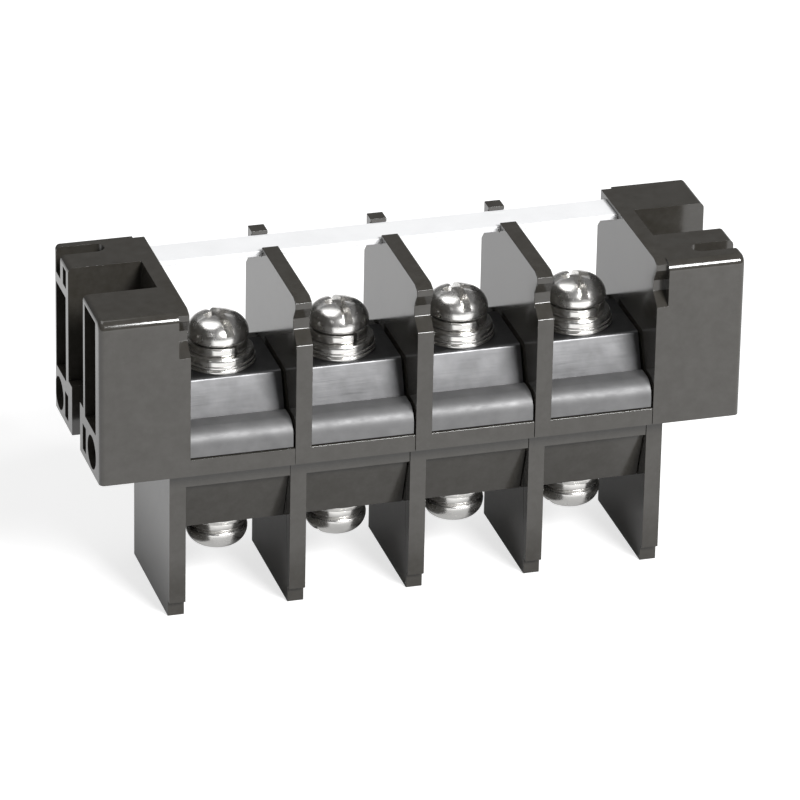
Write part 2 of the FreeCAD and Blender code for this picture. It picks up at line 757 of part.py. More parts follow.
def circle_edge(radius):
    """Test for a round edge of one radius about the axis of the stack."""
    def test(edge, ends):
        turned = isinstance(edge.Curve, Part.Circle)
        return turned and all(near(math.hypot(p.x, p.y), number(radius)) for p in ends)
    return test


def make_flat_washer(label, k, upward):
    body = place_stack(label, k, upward)
    ring = new_sketch(body, label + "_ring", "XY_Plane", "stack_gap")
    draw_circle(ring, "zero", "zero", "disc_diameter")
    draw_circle(ring, "zero", "zero", "ring_hole")
    pad(body, ring, "disc_thickness")
    round_edges(body, label + "_edge", "disc_round", circle_edge("disc_diameter/2"))
    raised = new_sketch(body, label + "_collar", "XY_Plane", "stack_gap + disc_thickness")
    draw_circle(raised, "zero", "zero", "collar_diameter")
    draw_circle(raised, "zero", "zero", "ring_hole")
    pad(body, raised, collar(upward))

    def collar_rim(edge, ends):
        top = number("stack_gap + disc_thickness + " + collar(upward))
        return circle_edge("collar_diameter/2")(edge, ends) and all(near(p.z, top) for p in ends)
    round_edges(body, label + "_collar_edge", "collar_round", collar_rim)
    return body


def make_spring_washer(label, k, upward):
    body = place_stack(label, k, upward)
    start = ring_seat(upward)
    ring = new_sketch(body, label + "_ring", "XY_Plane", start)
    draw_circle(ring, "zero", "zero", "ring_diameter")
    draw_circle(ring, "zero", "zero", "ring_hole")
    pad(body, ring, "ring_thickness")
    round_edges(body, label + "_edge", "ring_round", circle_edge("ring_diameter/2"))
    split = new_sketch(body, label + "_split", "XY_Plane", start + " + ring_thickness")
    draw_box(split, "- ring_split/2", "ring_split/2", "- ring_diameter", "zero")
    turn_sketch(split, "split_turn")
    pocket(body, split, "ring_thickness")
    return body


# Marker strip that lies across the barriers, its ends in the two end barriers.
def make_marker_strip():
    body = new_body("marker_strip", barrier_place(0), FRONT, "zero")
    start = "block_skin + strip_clearance"
    run = " ".join("+ pitch" for _ in range(int(value["pole_count"])))
    section = new_sketch(body, "marker_strip_section", "YZ_Plane", start)
    draw_box(section, RECESS_FRONT + " + strip_clearance",
             RECESS_FRONT + " + strip_clearance + strip_width",
             above("barrier_height - recess_drop + strip_lift"),
             above("barrier_height - recess_drop + strip_lift + strip_thickness"))
    pad(body, section, run + " + wall - block_skin - block_skin - strip_clearance - strip_clearance")
    return body


# Tie screws that hold the modules together: one long screw and a round nut in each row.
def make_tie(label, depth):
    start = barrier_place(0) + " - block_length + pocket_depth"
    body = new_body(label, start, FRONT + " + " + depth, above("tie_height"))
    run = " ".join("+ pitch" for _ in range(int(value["pole_count"])))
    reach = run + " + wall + block_length - pocket_depth + block_length - pocket_depth"
    shank = new_sketch(body, label + "_shank", "YZ_Plane")
    draw_circle(shank, "zero", "zero", "tie_diameter")
    pad(body, shank, reach + " + tie_head_height")
    head = new_sketch(body, label + "_head", "YZ_Plane", "- tie_head_height - seat_clearance")
    draw_circle(head, "zero", "zero", "tie_head")
    pad(body, head, "tie_head_height")
    neck = new_sketch(body, label + "_neck", "YZ_Plane", "- tie_head_height/2")
    draw_circle(neck, "zero", "zero", "tie_diameter")
    pad(body, neck, "tie_head_height")
    slot = new_sketch(body, label + "_slot", "YZ_Plane", "- tie_head_height - seat_clearance")
    draw_box(slot, "- tie_head", "tie_head", "- slot_width/4", "slot_width/4")
    pocket(body, slot, "tie_head_height/2", forward=True)
    return body


def make_tie_nut(label, depth):
    last = barrier_place(BARRIER_COUNT - 1)
    start = last + " + wall + block_length - pocket_depth + seat_clearance"
    body = new_body(label, start, FRONT + " + " + depth, above("tie_height"))
    ring = new_sketch(body, label + "_ring", "YZ_Plane")
    draw_circle(ring, "zero", "zero", "tie_head")
    draw_circle(ring, "zero", "zero", "tie_diameter + seat_clearance + seat_clearance")
    pad(body, ring, "tie_head_height")
    return body


bodies = [make_left_housing()]
for k in range(1, BARRIER_COUNT - 1):
    bodies.append(make_pole_housing(k))
bodies.append(make_right_housing())
for k in range(int(value["pole_count"])):
    bodies.append(make_conductor(k))
    for side, upward in (("upper", True), ("lower", False)):
        place = "%s_%%s_%d" % (side, k + 1)
        bodies.append(make_flat_washer(place % "flat_washer", k, upward))
        bodies.append(make_spring_washer(place % "spring_washer", k, upward))
        bodies.append(make_screw(place % "screw", k, upward))
bodies.append(make_marker_strip())
for row in ("front", "rear"):
    bodies.append(make_tie("tie_screw_" + row, TIE_PLACES[row]))
    bodies.append(make_tie_nut("tie_nut_" + row, TIE_PLACES[row]))

doc.recompute()
for entry in doc.Objects:
    if "Invalid" in entry.State or "Error" in entry.State:
        raise RuntimeError("%s failed: %s" % (entry.Name, entry.State))
for body in bodies:
    shape = body.Shape
    if shape.isNull() or not shape.isValid() or len(shape.Solids) != 1:
        raise RuntimeError("%s is not one valid solid" % body.Label)

os.makedirs("parts", exist_ok=True)
for body in bodies:
    body.Shape.exportStep("parts/%s.step" % body.Label)
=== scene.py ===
import math
import bmesh
import bpy
from mathutils import Matrix, Vector


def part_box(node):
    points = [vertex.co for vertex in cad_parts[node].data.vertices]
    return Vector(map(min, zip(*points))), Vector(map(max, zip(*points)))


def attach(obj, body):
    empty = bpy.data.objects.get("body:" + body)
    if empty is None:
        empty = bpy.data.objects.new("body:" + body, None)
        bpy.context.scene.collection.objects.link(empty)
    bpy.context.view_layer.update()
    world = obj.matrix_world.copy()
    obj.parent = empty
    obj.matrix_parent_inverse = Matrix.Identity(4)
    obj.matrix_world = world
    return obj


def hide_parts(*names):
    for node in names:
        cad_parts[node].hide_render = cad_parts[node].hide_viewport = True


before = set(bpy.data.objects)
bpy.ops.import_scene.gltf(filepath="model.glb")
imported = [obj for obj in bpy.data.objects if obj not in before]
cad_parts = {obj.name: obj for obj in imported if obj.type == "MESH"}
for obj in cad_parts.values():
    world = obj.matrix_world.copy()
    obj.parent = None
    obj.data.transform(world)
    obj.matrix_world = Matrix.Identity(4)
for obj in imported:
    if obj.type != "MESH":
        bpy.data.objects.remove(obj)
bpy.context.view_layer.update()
MM = 0.001
SIDES = ("upper", "lower")
POLES = 4
scene = bpy.context.scene


# Node helpers
PATTERN_LOW = 0.3
PATTERN_HIGH = 0.7


def new_material(name):
    """Node material, with its tree and its shader."""
    material = bpy.data.materials.new(name)
    material.use_nodes = True
    tree = material.node_tree
    shader = tree.nodes["Principled BSDF"]
    return material, tree, shader


def object_coordinates(tree, scale=(1, 1, 1)):
    coordinates = tree.nodes.new("ShaderNodeTexCoord")
    mapping = tree.nodes.new("ShaderNodeMapping")
    mapping.inputs["Scale"].default_value = scale
    tree.links.new(coordinates.outputs["Object"], mapping.inputs["Vector"])
    return mapping.outputs["Vector"]


def noise(tree, vector, scale, detail=3.0, roughness=0.5):
    node = tree.nodes.new("ShaderNodeTexNoise")
    node.inputs["Scale"].default_value = scale
    node.inputs["Detail"].default_value = detail
    node.inputs["Roughness"].default_value = roughness
    tree.links.new(vector, node.inputs["Vector"])
    return node.outputs["Fac"]


def ramp(tree, source, low, high):
    """Colour between two tones, by a pattern."""
    node = tree.nodes.new("ShaderNodeValToRGB")
    node.color_ramp.elements[0].position = PATTERN_LOW
    node.color_ramp.elements[1].position = PATTERN_HIGH
    node.color_ramp.elements[0].color = (*low, 1)
    node.color_ramp.elements[1].color = (*high, 1)
    tree.links.new(source, node.inputs["Fac"])
    return node.outputs["Color"]


def map_range(tree, source, start, end, low, high):
    """Value that goes from low to high while its source goes from start to end."""
    node = tree.nodes.new("ShaderNodeMapRange")
    for name, number in (("From Min", start), ("From Max", end), ("To Min", low), ("To Max", high)):
        node.inputs[name].default_value = number
    tree.links.new(source, node.inputs["Value"])
    return node.outputs["Result"]


def spread(tree, source, low, high):
    """Value between two numbers, by a pattern."""
    return map_range(tree, source, PATTERN_LOW, PATTERN_HIGH, low, high)


def maths(tree, operation, *sources):
    """Result of a maths node, whose sources are sockets or numbers."""
    node = tree.nodes.new("ShaderNodeMath")
    node.operation = operation
    for i, source in enumerate(sources):
        if isinstance(source, (int, float)):
            node.inputs[i].default_value = source
        else:
            tree.links.new(source, node.inputs[i])
    return node.outputs[0]


def bump(tree, source, distance, strength, before=None):
    node = tree.nodes.new("ShaderNodeBump")
    node.inputs["Distance"].default_value = distance
    node.inputs["Strength"].default_value = strength
    tree.links.new(source, node.inputs["Height"])
    if before:
        tree.links.new(before, node.inputs["Normal"])
    return node.outputs["Normal"]


# Materials
PLASTIC_REFRACTION = 1.65


def moulded_plastic(name, dark, light):
    """Dark glossy moulding: slow mottling, fine grain, soft waviness."""
    material, tree, shader = new_material(name)
    vector = object_coordinates(tree)
    mottle = noise(tree, vector, scale=420, detail=5.0, roughness=0.7)
    grain = noise(tree, vector, scale=2600, roughness=0.6)
    waves = noise(tree, vector, scale=150, detail=2.0)
    tree.links.new(ramp(tree, mottle, dark, light), shader.inputs["Base Color"])
    tree.links.new(spread(tree, mottle, low=0.11, high=0.17), shader.inputs["Roughness"])
    wavy = bump(tree, waves, distance=0.00002, strength=0.2)
    grainy = bump(tree, grain, distance=0.000006, strength=0.4, before=wavy)
    tree.links.new(grainy, shader.inputs["Normal"])
    shader.inputs["IOR"].default_value = PLASTIC_REFRACTION
    return material


def plated_metal(name, dark, light, rough, depth, stretch=(1, 1, 1), metallic=1.0):
    """Plated metal with a fine pattern, which stretch can draw into lines; rough is a pair, low and high."""
    material, tree, shader = new_material(name)
    vector = object_coordinates(tree, stretch)
    lines = noise(tree, vector, scale=900, detail=4.0, roughness=0.65)
    cloud = noise(tree, object_coordinates(tree), scale=300)
    tree.links.new(ramp(tree, cloud, dark, light), shader.inputs["Base Color"])
    tree.links.new(spread(tree, lines, *rough), shader.inputs["Roughness"])
    tree.links.new(bump(tree, lines, depth, strength=0.6), shader.inputs["Normal"])
    shader.inputs["Metallic"].default_value = metallic
    return material


def white_plastic(name, dark, light):
    """Matt white sheet with a fine grain."""
    material, tree, shader = new_material(name)
    vector = object_coordinates(tree)
    cloud = noise(tree, vector, scale=180)
    grain = noise(tree, vector, scale=2400, detail=2.0)
    tree.links.new(ramp(tree, cloud, dark, light), shader.inputs["Base Color"])
    tree.links.new(spread(tree, cloud, low=0.32, high=0.42), shader.inputs["Roughness"])
    tree.links.new(bump(tree, grain, distance=0.00001, strength=0.4), shader.inputs["Normal"])
    return material


PLASTIC = moulded_plastic(
    "housing_plastic",
    dark=(0.032, 0.029, 0.024),
    light=(0.046, 0.043, 0.038),
)
CONDUCTOR = plated_metal(
    "satin_nickel",
    dark=(0.094, 0.094, 0.096),
    light=(0.130, 0.130, 0.133),
    rough=(0.32, 0.45),
    depth=0.000012,
    stretch=(0.12, 2, 2),
)
FORMED = plated_metal(
    "formed_nickel",
    dark=(0.155, 0.155, 0.157),
    light=(0.195, 0.195, 0.197),
    rough=(0.50, 0.62),
    depth=0.000008,
    stretch=(0.5, 1, 1),
    metallic=0.6,
)
# Nickel inside the slot and cross recess: a duller, partly diffuse copy of the head's nickel, with painted
# light so that the recess reads grey
LIGHTENED_RECESS_NICKEL = plated_metal(
    "recess_nickel_painted_light",
    dark=(0.60, 0.59, 0.58),
    light=(0.72, 0.71, 0.70),
    rough=(0.34, 0.48),
    depth=0.00001,
    stretch=(0.3, 3, 1),
    metallic=0.4,
)
BRIGHT = plated_metal(
    "bright_nickel",
    dark=(0.76, 0.75, 0.73),
    light=(0.88, 0.87, 0.85),
    rough=(0.20, 0.29),
    depth=0.000008,
)
WASHER = plated_metal(
    "washer_nickel",
    dark=(0.66, 0.65, 0.63),
    light=(0.80, 0.79, 0.77),
    rough=(0.16, 0.26),
    depth=0.000006,
)
ZINC = plated_metal(
    "zinc_plate",
    dark=(0.42, 0.43, 0.45),
    light=(0.52, 0.53, 0.55),
    rough=(0.30, 0.45),
    depth=0.00001,
)
WHITE = white_plastic(
    "marker_white",
    dark=(0.845, 0.85, 0.86),
    light=(0.88, 0.885, 0.895),
)


def material_of(node):
    if "housing" in node:
        return PLASTIC
    if node.startswith("conductor"):
        return CONDUCTOR
    if node.startswith("marker"):
        return WHITE
    if node.startswith("tie"):
        return ZINC
    return WASHER if "washer" in node else BRIGHT


for node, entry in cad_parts.items():
    entry.data.materials.clear()
    entry.data.materials.append(material_of(node))


# Small roundings on the edges of the moulded and the pressed parts
HOUSING_EDGE = 0.16 * MM
METAL_EDGE = 0.08 * MM
EDGE_STEPS = 2
EDGE_ANGLE = math.radians(30)
JOIN_DISTANCE = 0.002 * MM


def surface_group():
    """Joined corners and smooth shading, which the bevel that follows needs."""
    group = bpy.data.node_groups.new("joined_surface", "GeometryNodeTree")
    group.interface.new_socket("Geometry", in_out="INPUT", socket_type="NodeSocketGeometry")
    group.interface.new_socket("Geometry", in_out="OUTPUT", socket_type="NodeSocketGeometry")
    start = group.nodes.new("NodeGroupInput")
    plain = group.nodes.new("GeometryNodeRemoveAttribute")
    plain.inputs["Name"].default_value = "custom_normal"
    merge = group.nodes.new("GeometryNodeMergeByDistance")
    merge.inputs["Distance"].default_value = JOIN_DISTANCE
    smooth = group.nodes.new("GeometryNodeSetShadeSmooth")
    end = group.nodes.new("NodeGroupOutput")
    group.links.new(start.outputs[0], plain.inputs["Geometry"])
    group.links.new(plain.outputs["Geometry"], merge.inputs["Geometry"])
    group.links.new(merge.outputs["Geometry"], smooth.inputs["Geometry"])
    group.links.new(smooth.outputs["Geometry"], end.inputs[0])
    return group


JOINED_SURFACE = surface_group()


def soften(entry, width):
    join = entry.modifiers.new("joined", "NODES")
    join.node_group = JOINED_SURFACE
    edge = entry.modifiers.new("edge", "BEVEL")
    edge.width = width
    edge.segments = EDGE_STEPS
    edge.limit_method = "ANGLE"
    edge.angle_limit = EDGE_ANGLE
    edge.harden_normals = True


for node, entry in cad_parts.items():
    soften(entry, HOUSING_EDGE if "housing" in node else METAL_EDGE)


# Shapes of the pieces below, in millimetres
ROUND_STEPS = 96
SHARP_ANGLE = math.radians(32)
ON_AXIS = 1e-6


def lathe(mesh, profile, steps=ROUND_STEPS):
    """Turns (radius, height) pairs round the Z axis; a radius of zero is one point on the axis."""
    rings = []
    for radius, height in profile:
        if radius < ON_AXIS:
            rings.append([mesh.verts.new((0, 0, height))] * steps)
            continue
        turns = [math.tau * step / steps for step in range(steps)]
        rings.append([mesh.verts.new((radius * math.cos(t), radius * math.sin(t), height)) for t in turns])
    for first, second in zip(rings, rings[1:]):
        for i in range(steps):
            j = (i + 1) % steps
            corners = []
            for corner in (first[i], second[i], second[j], first[j]):
                if corner not in corners:
                    corners.append(corner)
            mesh.faces.new(corners)


def join_rings(mesh, rings):
    """Closed skin over rings that have the same number of points, with a face at each end."""
    count = len(rings[0])
    for first, second in zip(rings, rings[1:]):
        for i in range(count):
            j = (i + 1) % count
            mesh.faces.new((first[i], second[i], second[j], first[j]))
    mesh.faces.new(rings[0])
    mesh.faces.new(rings[-1])


def arc(radius, centre, start, end, steps):
    """Points of a profile on an arc, from one angle above the level to another."""
    angles = [start + (end - start) * step / steps for step in range(steps + 1)]
    across = [max(centre[0] + radius * math.cos(angle), 0.0) for angle in angles]
    return [(x, centre[1] + radius * math.sin(angle)) for x, angle in zip(across, angles)]


def bend(first, corner, last, steps):
    """Points of a profile on a smooth bend from one point to another, drawn towards a corner."""
    points = []
    for step in range(1, steps + 1):
        t = step / steps
        share = ((1 - t) ** 2, 2 * t * (1 - t), t ** 2)
        points.append(tuple(sum(w * p[i] for w, p in zip(share, (first, corner, last))) for i in (0, 1)))
    return points


def new_piece(name, mesh):
    data = bpy.data.meshes.new(name)
    bmesh.ops.recalc_face_normals(mesh, faces=mesh.faces)
    mesh.to_mesh(data)
    mesh.free()
    piece = bpy.data.objects.new(name, data)
    scene.collection.objects.link(piece)
    return piece


def shade(piece, materials):
    """Smooth faces with sharp corners, in the piece's own materials."""
    piece.data.materials.clear()
    for material in materials:
        piece.data.materials.append(material)
    for face in piece.data.polygons:
        face.use_smooth = True
    piece.data.set_sharp_from_angle(angle=SHARP_ANGLE)


def size_of(node):
    """Lowest and highest corner of a node's box."""
    return [Vector(corner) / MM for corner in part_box(node)]


def set_piece(piece, low, high, upward, turn):
    """Puts a piece whose top is at Z = 0 into the box of its node, turned about its own axis."""
    middle = (low + high) / 2
    place = Vector((middle.x, middle.y, high.z if upward else low.z)) * MM
    over = Matrix() if upward else Matrix.Rotation(math.pi, 4, "X")
    spin = Matrix.Rotation(math.radians(turn), 4, "Z")
    piece.data.transform(Matrix.Translation(place) @ over @ spin @ Matrix.Scale(MM, 4))


def finish_metal(piece, materials, node, body):
    shade(piece, materials)
    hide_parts(node)
    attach(piece, body)


# Formed lips over the ledges of the housings, in front of the ramps
LEDGE_FRONT = -15.5
LEDGE_REAR = -10.45
LEDGE_TOP = 34.1
LEDGE_FOOT = 29.82
LEDGE_NOSE = 2.6
LEDGE_LEFT_OF_CONDUCTOR = 0.40
LEDGE_RIGHT_OF_CONDUCTOR = 0.10
LIP_PROUD = 0.07
LIP_INSET = 0.02
LIP_SHORT_OF_REAR = 0.05
LIP_SHEET = 0.12
LIP_FRONT = LEDGE_FRONT - LIP_PROUD
LIP_REAR = LEDGE_REAR - LIP_SHORT_OF_REAR
LIP_TOP = LEDGE_TOP + LIP_PROUD
LIP_FOOT = LEDGE_FOOT + LIP_INSET
LIP_ROUND = LEDGE_NOSE + LIP_PROUD
NOSE_STEPS = 12


def nose_points(inside=0.0):
    """Quarter round between the top and the front of the lip; inside is a depth in the sheet."""
    points = []
    reach = LIP_ROUND - inside
    for step in range(NOSE_STEPS + 1):
        turn = math.pi / 2 * step / NOSE_STEPS
        back = LIP_ROUND - reach * math.sin(turn)
        down = reach * math.cos(turn) - LIP_ROUND
        points.append((LIP_FRONT + back, LIP_TOP + down))
    return points


def make_lip(node):
    """Thin formed sheet over the ledge in front of a conductor, a hair proud of the moulding."""
    low, high = size_of(node)
    profile = [(LIP_REAR, LIP_TOP)]
    profile += nose_points()
    profile += [(LIP_FRONT, LIP_FOOT), (LIP_FRONT + LIP_SHEET, LIP_FOOT)]
    profile += reversed(nose_points(LIP_SHEET))
    profile += [(LIP_REAR, LIP_TOP - LIP_SHEET)]
    mesh = bmesh.new()
    left = low.x - LEDGE_LEFT_OF_CONDUCTOR + LIP_INSET
    right = high.x + LEDGE_RIGHT_OF_CONDUCTOR - LIP_INSET
    join_rings(mesh, [[mesh.verts.new((x, y, z)) for y, z in profile] for x in (left, right)])
    piece = new_piece(node.replace("conductor", "conductor_lip"), mesh)
    piece.data.transform(Matrix.Scale(MM, 4))
    shade(piece, (FORMED,))
    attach(piece, "strip")


for k in range(POLES):
    make_lip("conductor_%d" % (k + 1))


# Heads of the clamping screws, with their tops at Z = 0
HEAD_RADIUS = 5.05
HEAD_HEIGHT = 4.3
HEAD_CROWN = 8.0
HEAD_SHOULDER = 2.9
HEAD_UNDERCUT = 0.75
HEAD_STEPS = 10
FOOT_ROUND = 0.4
FOOT_LIFT = 0.25
FOOT_INSET = 0.6
SLOT_WIDTH = 1.5
SLOT_DEPTH = 2.4
SLOT_LENGTH = 3 * HEAD_RADIUS
CROSS_LENGTH = 5.6
CROSS_WIDTH = 1.6
CROSS_DEPTH = 2.9
CROSS_FOOT_LENGTH = 2.0
CROSS_FOOT_WIDTH = 1.1
CUTTER_TOP = 1.0
RECESS_EDGE = 0.12
RECESS_LOWEST = -3.2
RECESS_UNDER_DOME = 0.06
CORNER_DISTANCE = 0.002
BEND_STEPS = 4


def tapered_block(name, length, foot_length, width, foot_width, depth):
    """Cutting block with a size at its top, which stands a little over Z = 0, and another at its foot."""
    mesh = bmesh.new()
    rows = []
    for along, across, height in ((length, width, CUTTER_TOP), (foot_length, foot_width, -depth)):
        signs = ((1, 1), (-1, 1), (-1, -1), (1, -1))
        rows.append([mesh.verts.new((a * along / 2, b * across / 2, height)) for a, b in signs])
    join_rings(mesh, rows)
    return new_piece(name, mesh)


def cut_away(piece, cutters):
    """Mesh of the piece less its cutting blocks; the piece and the blocks are then deleted."""
    for cutter in cutters:
        cut = piece.modifiers.new("cut", "BOOLEAN")
        cut.operation = "DIFFERENCE"
        cut.solver = "EXACT"
        cut.object = cutter
    bpy.context.view_layer.update()
    shape = piece.evaluated_get(bpy.context.evaluated_depsgraph_get())
    result = bmesh.new()
    result.from_mesh(shape.to_mesh())
    shape.to_mesh_clear()
    for entry in (piece, *cutters):
        bpy.data.objects.remove(entry)
    return result


def shoulder():
    """Centre of the rounding at the side of the head, and the angle at which it meets the dome."""
    across = HEAD_RADIUS - HEAD_SHOULDER
    reach = HEAD_CROWN - HEAD_SHOULDER
    return (across, math.sqrt(reach * reach - across * across) - HEAD_CROWN), math.acos(across / reach)


def dome_height(radius):
    """Height of the head's uncut surface at a distance from its axis."""
    middle, meet = shoulder()
    if radius < HEAD_CROWN * math.cos(meet):
        return math.sqrt(HEAD_CROWN ** 2 - radius ** 2) - HEAD_CROWN
    return middle[1] + math.sqrt(max(HEAD_SHOULDER ** 2 - (radius - middle[0]) ** 2, 0))


def in_recess(face):
    centre = face.calc_center_median()
    radius = min(math.hypot(centre.x, centre.y), HEAD_RADIUS)
    return RECESS_LOWEST < centre.z < dome_height(radius) - RECESS_UNDER_DOME


def head_profile():
    """Dome, rounded side and drawn-in foot of the head."""
    middle, meet = shoulder()
    dome = arc(HEAD_CROWN, (0, -HEAD_CROWN), math.pi / 2, meet, HEAD_STEPS)
    side = arc(HEAD_SHOULDER, middle, meet, 0, HEAD_STEPS)[1:]
    under = -HEAD_HEIGHT
    foot = [(HEAD_RADIUS, under + HEAD_UNDERCUT)]
    corner = (HEAD_RADIUS, under + FOOT_ROUND)
    foot += bend(foot[0], corner, (HEAD_RADIUS - FOOT_ROUND, under + FOOT_LIFT), BEND_STEPS)
    foot += [(HEAD_RADIUS - FOOT_INSET, under), (0, under)]
    return dome + side + foot


def head_mesh():
    """Domed head, its top at Z = 0, with a driver slot along Y and a cross recess."""
    mesh = bmesh.new()
    lathe(mesh, head_profile())
    head = new_piece("head", mesh)
    cross = (CROSS_LENGTH, CROSS_FOOT_LENGTH)
    arm = (CROSS_WIDTH, CROSS_FOOT_WIDTH)
    slot = tapered_block("slot", SLOT_WIDTH, SLOT_WIDTH, SLOT_LENGTH, SLOT_LENGTH, SLOT_DEPTH)
    along = tapered_block("along", *cross, *arm, CROSS_DEPTH)
    across = tapered_block("across", *arm, *cross, CROSS_DEPTH)
    cut = cut_away(head, (slot, along, across))
    bmesh.ops.remove_doubles(cut, verts=cut.verts, dist=CORNER_DISTANCE)
    # Faces inside the slot and cross recess take the second material, the copy of the nickel with painted
    # light
    inner = [face for face in cut.faces if in_recess(face)]
    for face in inner:
        face.material_index = 1
    rims = []
    for edge in cut.edges:
        sides = {in_recess(face) for face in edge.link_faces}
        if len(sides) == 2:
            rims.append(edge)
    worn = {"offset": RECESS_EDGE, "segments": EDGE_STEPS, "affect": "EDGES", "clamp_overlap": True}
    bmesh.ops.bevel(cut, geom=rims, **worn)
    result = bpy.data.meshes.new("head")
    cut.to_mesh(result)
    cut.free()
    return result


# Threads and screws
THREAD_PITCH = 0.8
THREAD_MAJOR = 2.48
THREAD_MINOR = 2.02
THREAD_STEPS = 36
ROWS_PER_PITCH = 8
ROOT_WIDTH = 0.12
FLANK_WIDTH = 0.7
TIP_INSET = 0.2
SHANK_IN_HEAD = 0.3


def thread_radius(turn_share, height, tip):
    """Radius of the shank at a share of a turn and at a height, smaller at the tip."""
    phase = (height / THREAD_PITCH - turn_share) % 1.0
    crest = min(max((abs(2 * phase - 1) - ROOT_WIDTH) / FLANK_WIDTH, 0.0), 1.0)
    radius = THREAD_MINOR + (THREAD_MAJOR - THREAD_MINOR) * crest
    return min(radius, THREAD_MINOR - TIP_INSET + (height - tip))


def add_thread(mesh, top, tip):
    """Threaded shank: the radius rises and falls along a right-handed helix."""
    rows = int((top - tip) / THREAD_PITCH * ROWS_PER_PITCH)
    rings = []
    for row in range(rows + 1):
        height = top + (tip - top) * row / rows
        ring = []
        for step in range(THREAD_STEPS):
            turn = math.tau * step / THREAD_STEPS
            radius = thread_radius(step / THREAD_STEPS, height, tip)
            ring.append(mesh.verts.new((radius * math.cos(turn), radius * math.sin(turn), height)))
        rings.append(ring)
    join_rings(mesh, rings)


def make_screw(node, head, turn):
    """Screw in the place of its node: the head's dome points away from the panel."""
    low, high = size_of(node)
    mesh = bmesh.new()
    mesh.from_mesh(head)
    add_thread(mesh, -HEAD_HEIGHT + SHANK_IN_HEAD, -(high.z - low.z))
    piece = new_piece(node + "_detail", mesh)
    set_piece(piece, low, high, node.startswith("upper"), turn)
    finish_metal(piece, (BRIGHT, LIGHTENED_RECESS_NICKEL), node, node.replace("screw", "clamp"))


# Washers
WASHER_HOLE = 2.7
COLLAR_INSET = 0.75
COLLAR_CORNER = 0.3
COLLAR_REACH = 0.35
COLLAR_FOOT = 1.3
COLLAR_STEPS = 5
UPPER_DISC = (1.25, 0.72, 0.1)
LOWER_DISC = (0.62, 0.0, 0.0)
DISC_TOP_ROUND = 0.25
DISC_FOOT_ROUND = 0.2
DISC_STEPS = 3
SPRING_RISE = 0.22
SPRING_ROUND = 0.3
SPRING_BORE_EDGE = 0.1
SPRING_HALF_GAP = 0.35


def make_flat_washer(node):
    """Two thin discs and the domed collar above them, all with rounded rims."""
    low, high = size_of(node)
    height = high.z - low.z
    rim = (high.x - low.x) / 2
    start = (rim - COLLAR_INSET, 0)
    profile = [(WASHER_HOLE, 0), start]
    collar_foot = (rim - COLLAR_REACH, -(height - COLLAR_FOOT))
    profile += bend(start, (rim - COLLAR_CORNER, 0), collar_foot, COLLAR_STEPS)
    for top_above, foot_above, inset in (UPPER_DISC, LOWER_DISC):
        top = height - top_above
        foot = height - foot_above
        edge = rim - inset
        inner = (edge - DISC_TOP_ROUND, -top)
        widest = (edge, -(top + foot) / 2)
        profile += [inner]
        profile += bend(inner, (edge, -top), widest, DISC_STEPS)
        profile += bend(widest, (edge, -foot), (edge - DISC_FOOT_ROUND, -foot), DISC_STEPS)
    profile += [(WASHER_HOLE, -height), (WASHER_HOLE, 0)]
    mesh = bmesh.new()
    lathe(mesh, profile)
    piece = new_piece(node + "_detail", mesh)
    set_piece(piece, low, high, node.startswith("upper"), 0)
    finish_metal(piece, (WASHER,), node, node.replace("flat_washer", "washer_pair"))


def spring_section(rim, thick):
    """Square section of the spring washer with its outer corners rounded."""
    inner = rim - SPRING_ROUND
    edge = SPRING_BORE_EDGE
    section = [(WASHER_HOLE, -edge), (WASHER_HOLE + edge, 0), (inner, 0)]
    section += bend((inner, 0), (rim, 0), (rim, -SPRING_ROUND), BEND_STEPS)
    lower = (rim, -thick + SPRING_ROUND)
    section += [lower]
    section += bend(lower, (rim, -thick), (inner, -thick), BEND_STEPS)
    section += [(WASHER_HOLE + edge, -thick), (WASHER_HOLE, -thick + edge)]
    return section


def make_spring_washer(node, split):
    """Split ring that sinks a little from one end to the other."""
    low, high = size_of(node)
    rim = (high.x - low.x) / 2
    section = spring_section(rim, high.z - low.z - SPRING_RISE)
    gap = SPRING_HALF_GAP / rim
    mesh = bmesh.new()
    rings = []
    for step in range(ROUND_STEPS + 1):
        share = step / ROUND_STEPS
        turn = gap + (math.tau - 2 * gap) * share
        side = Vector((math.cos(turn), math.sin(turn), 0))
        sink = SPRING_RISE * share
        rings.append([mesh.verts.new(side * r + Vector((0, 0, z - sink))) for r, z in section])
    join_rings(mesh, rings)
    piece = new_piece(node + "_detail", mesh)
    set_piece(piece, low, high, node.startswith("upper"), split)
    finish_metal(piece, (WASHER,), node, node.replace("spring_washer", "washer_pair"))


# Turns of the slots and of the splits about their own axes, in degrees, from the left pole to the right
SLOT_TURNS = {"upper": (11, 6, 3, 0), "lower": (98, 62, 88, 70)}
SPLIT_TURNS = {"upper": (-66, -70, -62, -58), "lower": (-60, -66, -72, -64)}
HEAD = head_mesh()
for side_name in SIDES:
    for k in range(POLES):
        make_screw("%s_screw_%d" % (side_name, k + 1), HEAD, SLOT_TURNS[side_name][k])
        make_flat_washer("%s_flat_washer_%d" % (side_name, k + 1))
        make_spring_washer("%s_spring_washer_%d" % (side_name, k + 1), SPLIT_TURNS[side_name][k])
bpy.data.meshes.remove(HEAD)


# Floor and world
FLOOR_HALF_SIDE = 30.0
FLOOR_HEIGHT = -0.05 * MM
FLOOR_COLOUR = 0.52
FLOOR_ROUGH = 0.9
FLOOR_IN_VIEW = 0.70
FLOOR_FAR_IN_VIEW = 0.95
FLOOR_NEAR = 0.45
FLOOR_FAR = 1.6
FLOOR_IN_GLOSS = 0.60
FLOOR_IN_PAINTED_SHADOW = 0.03
AMBIENT = 0.16
WHITE_LIGHT = (1, 1, 1, 1)

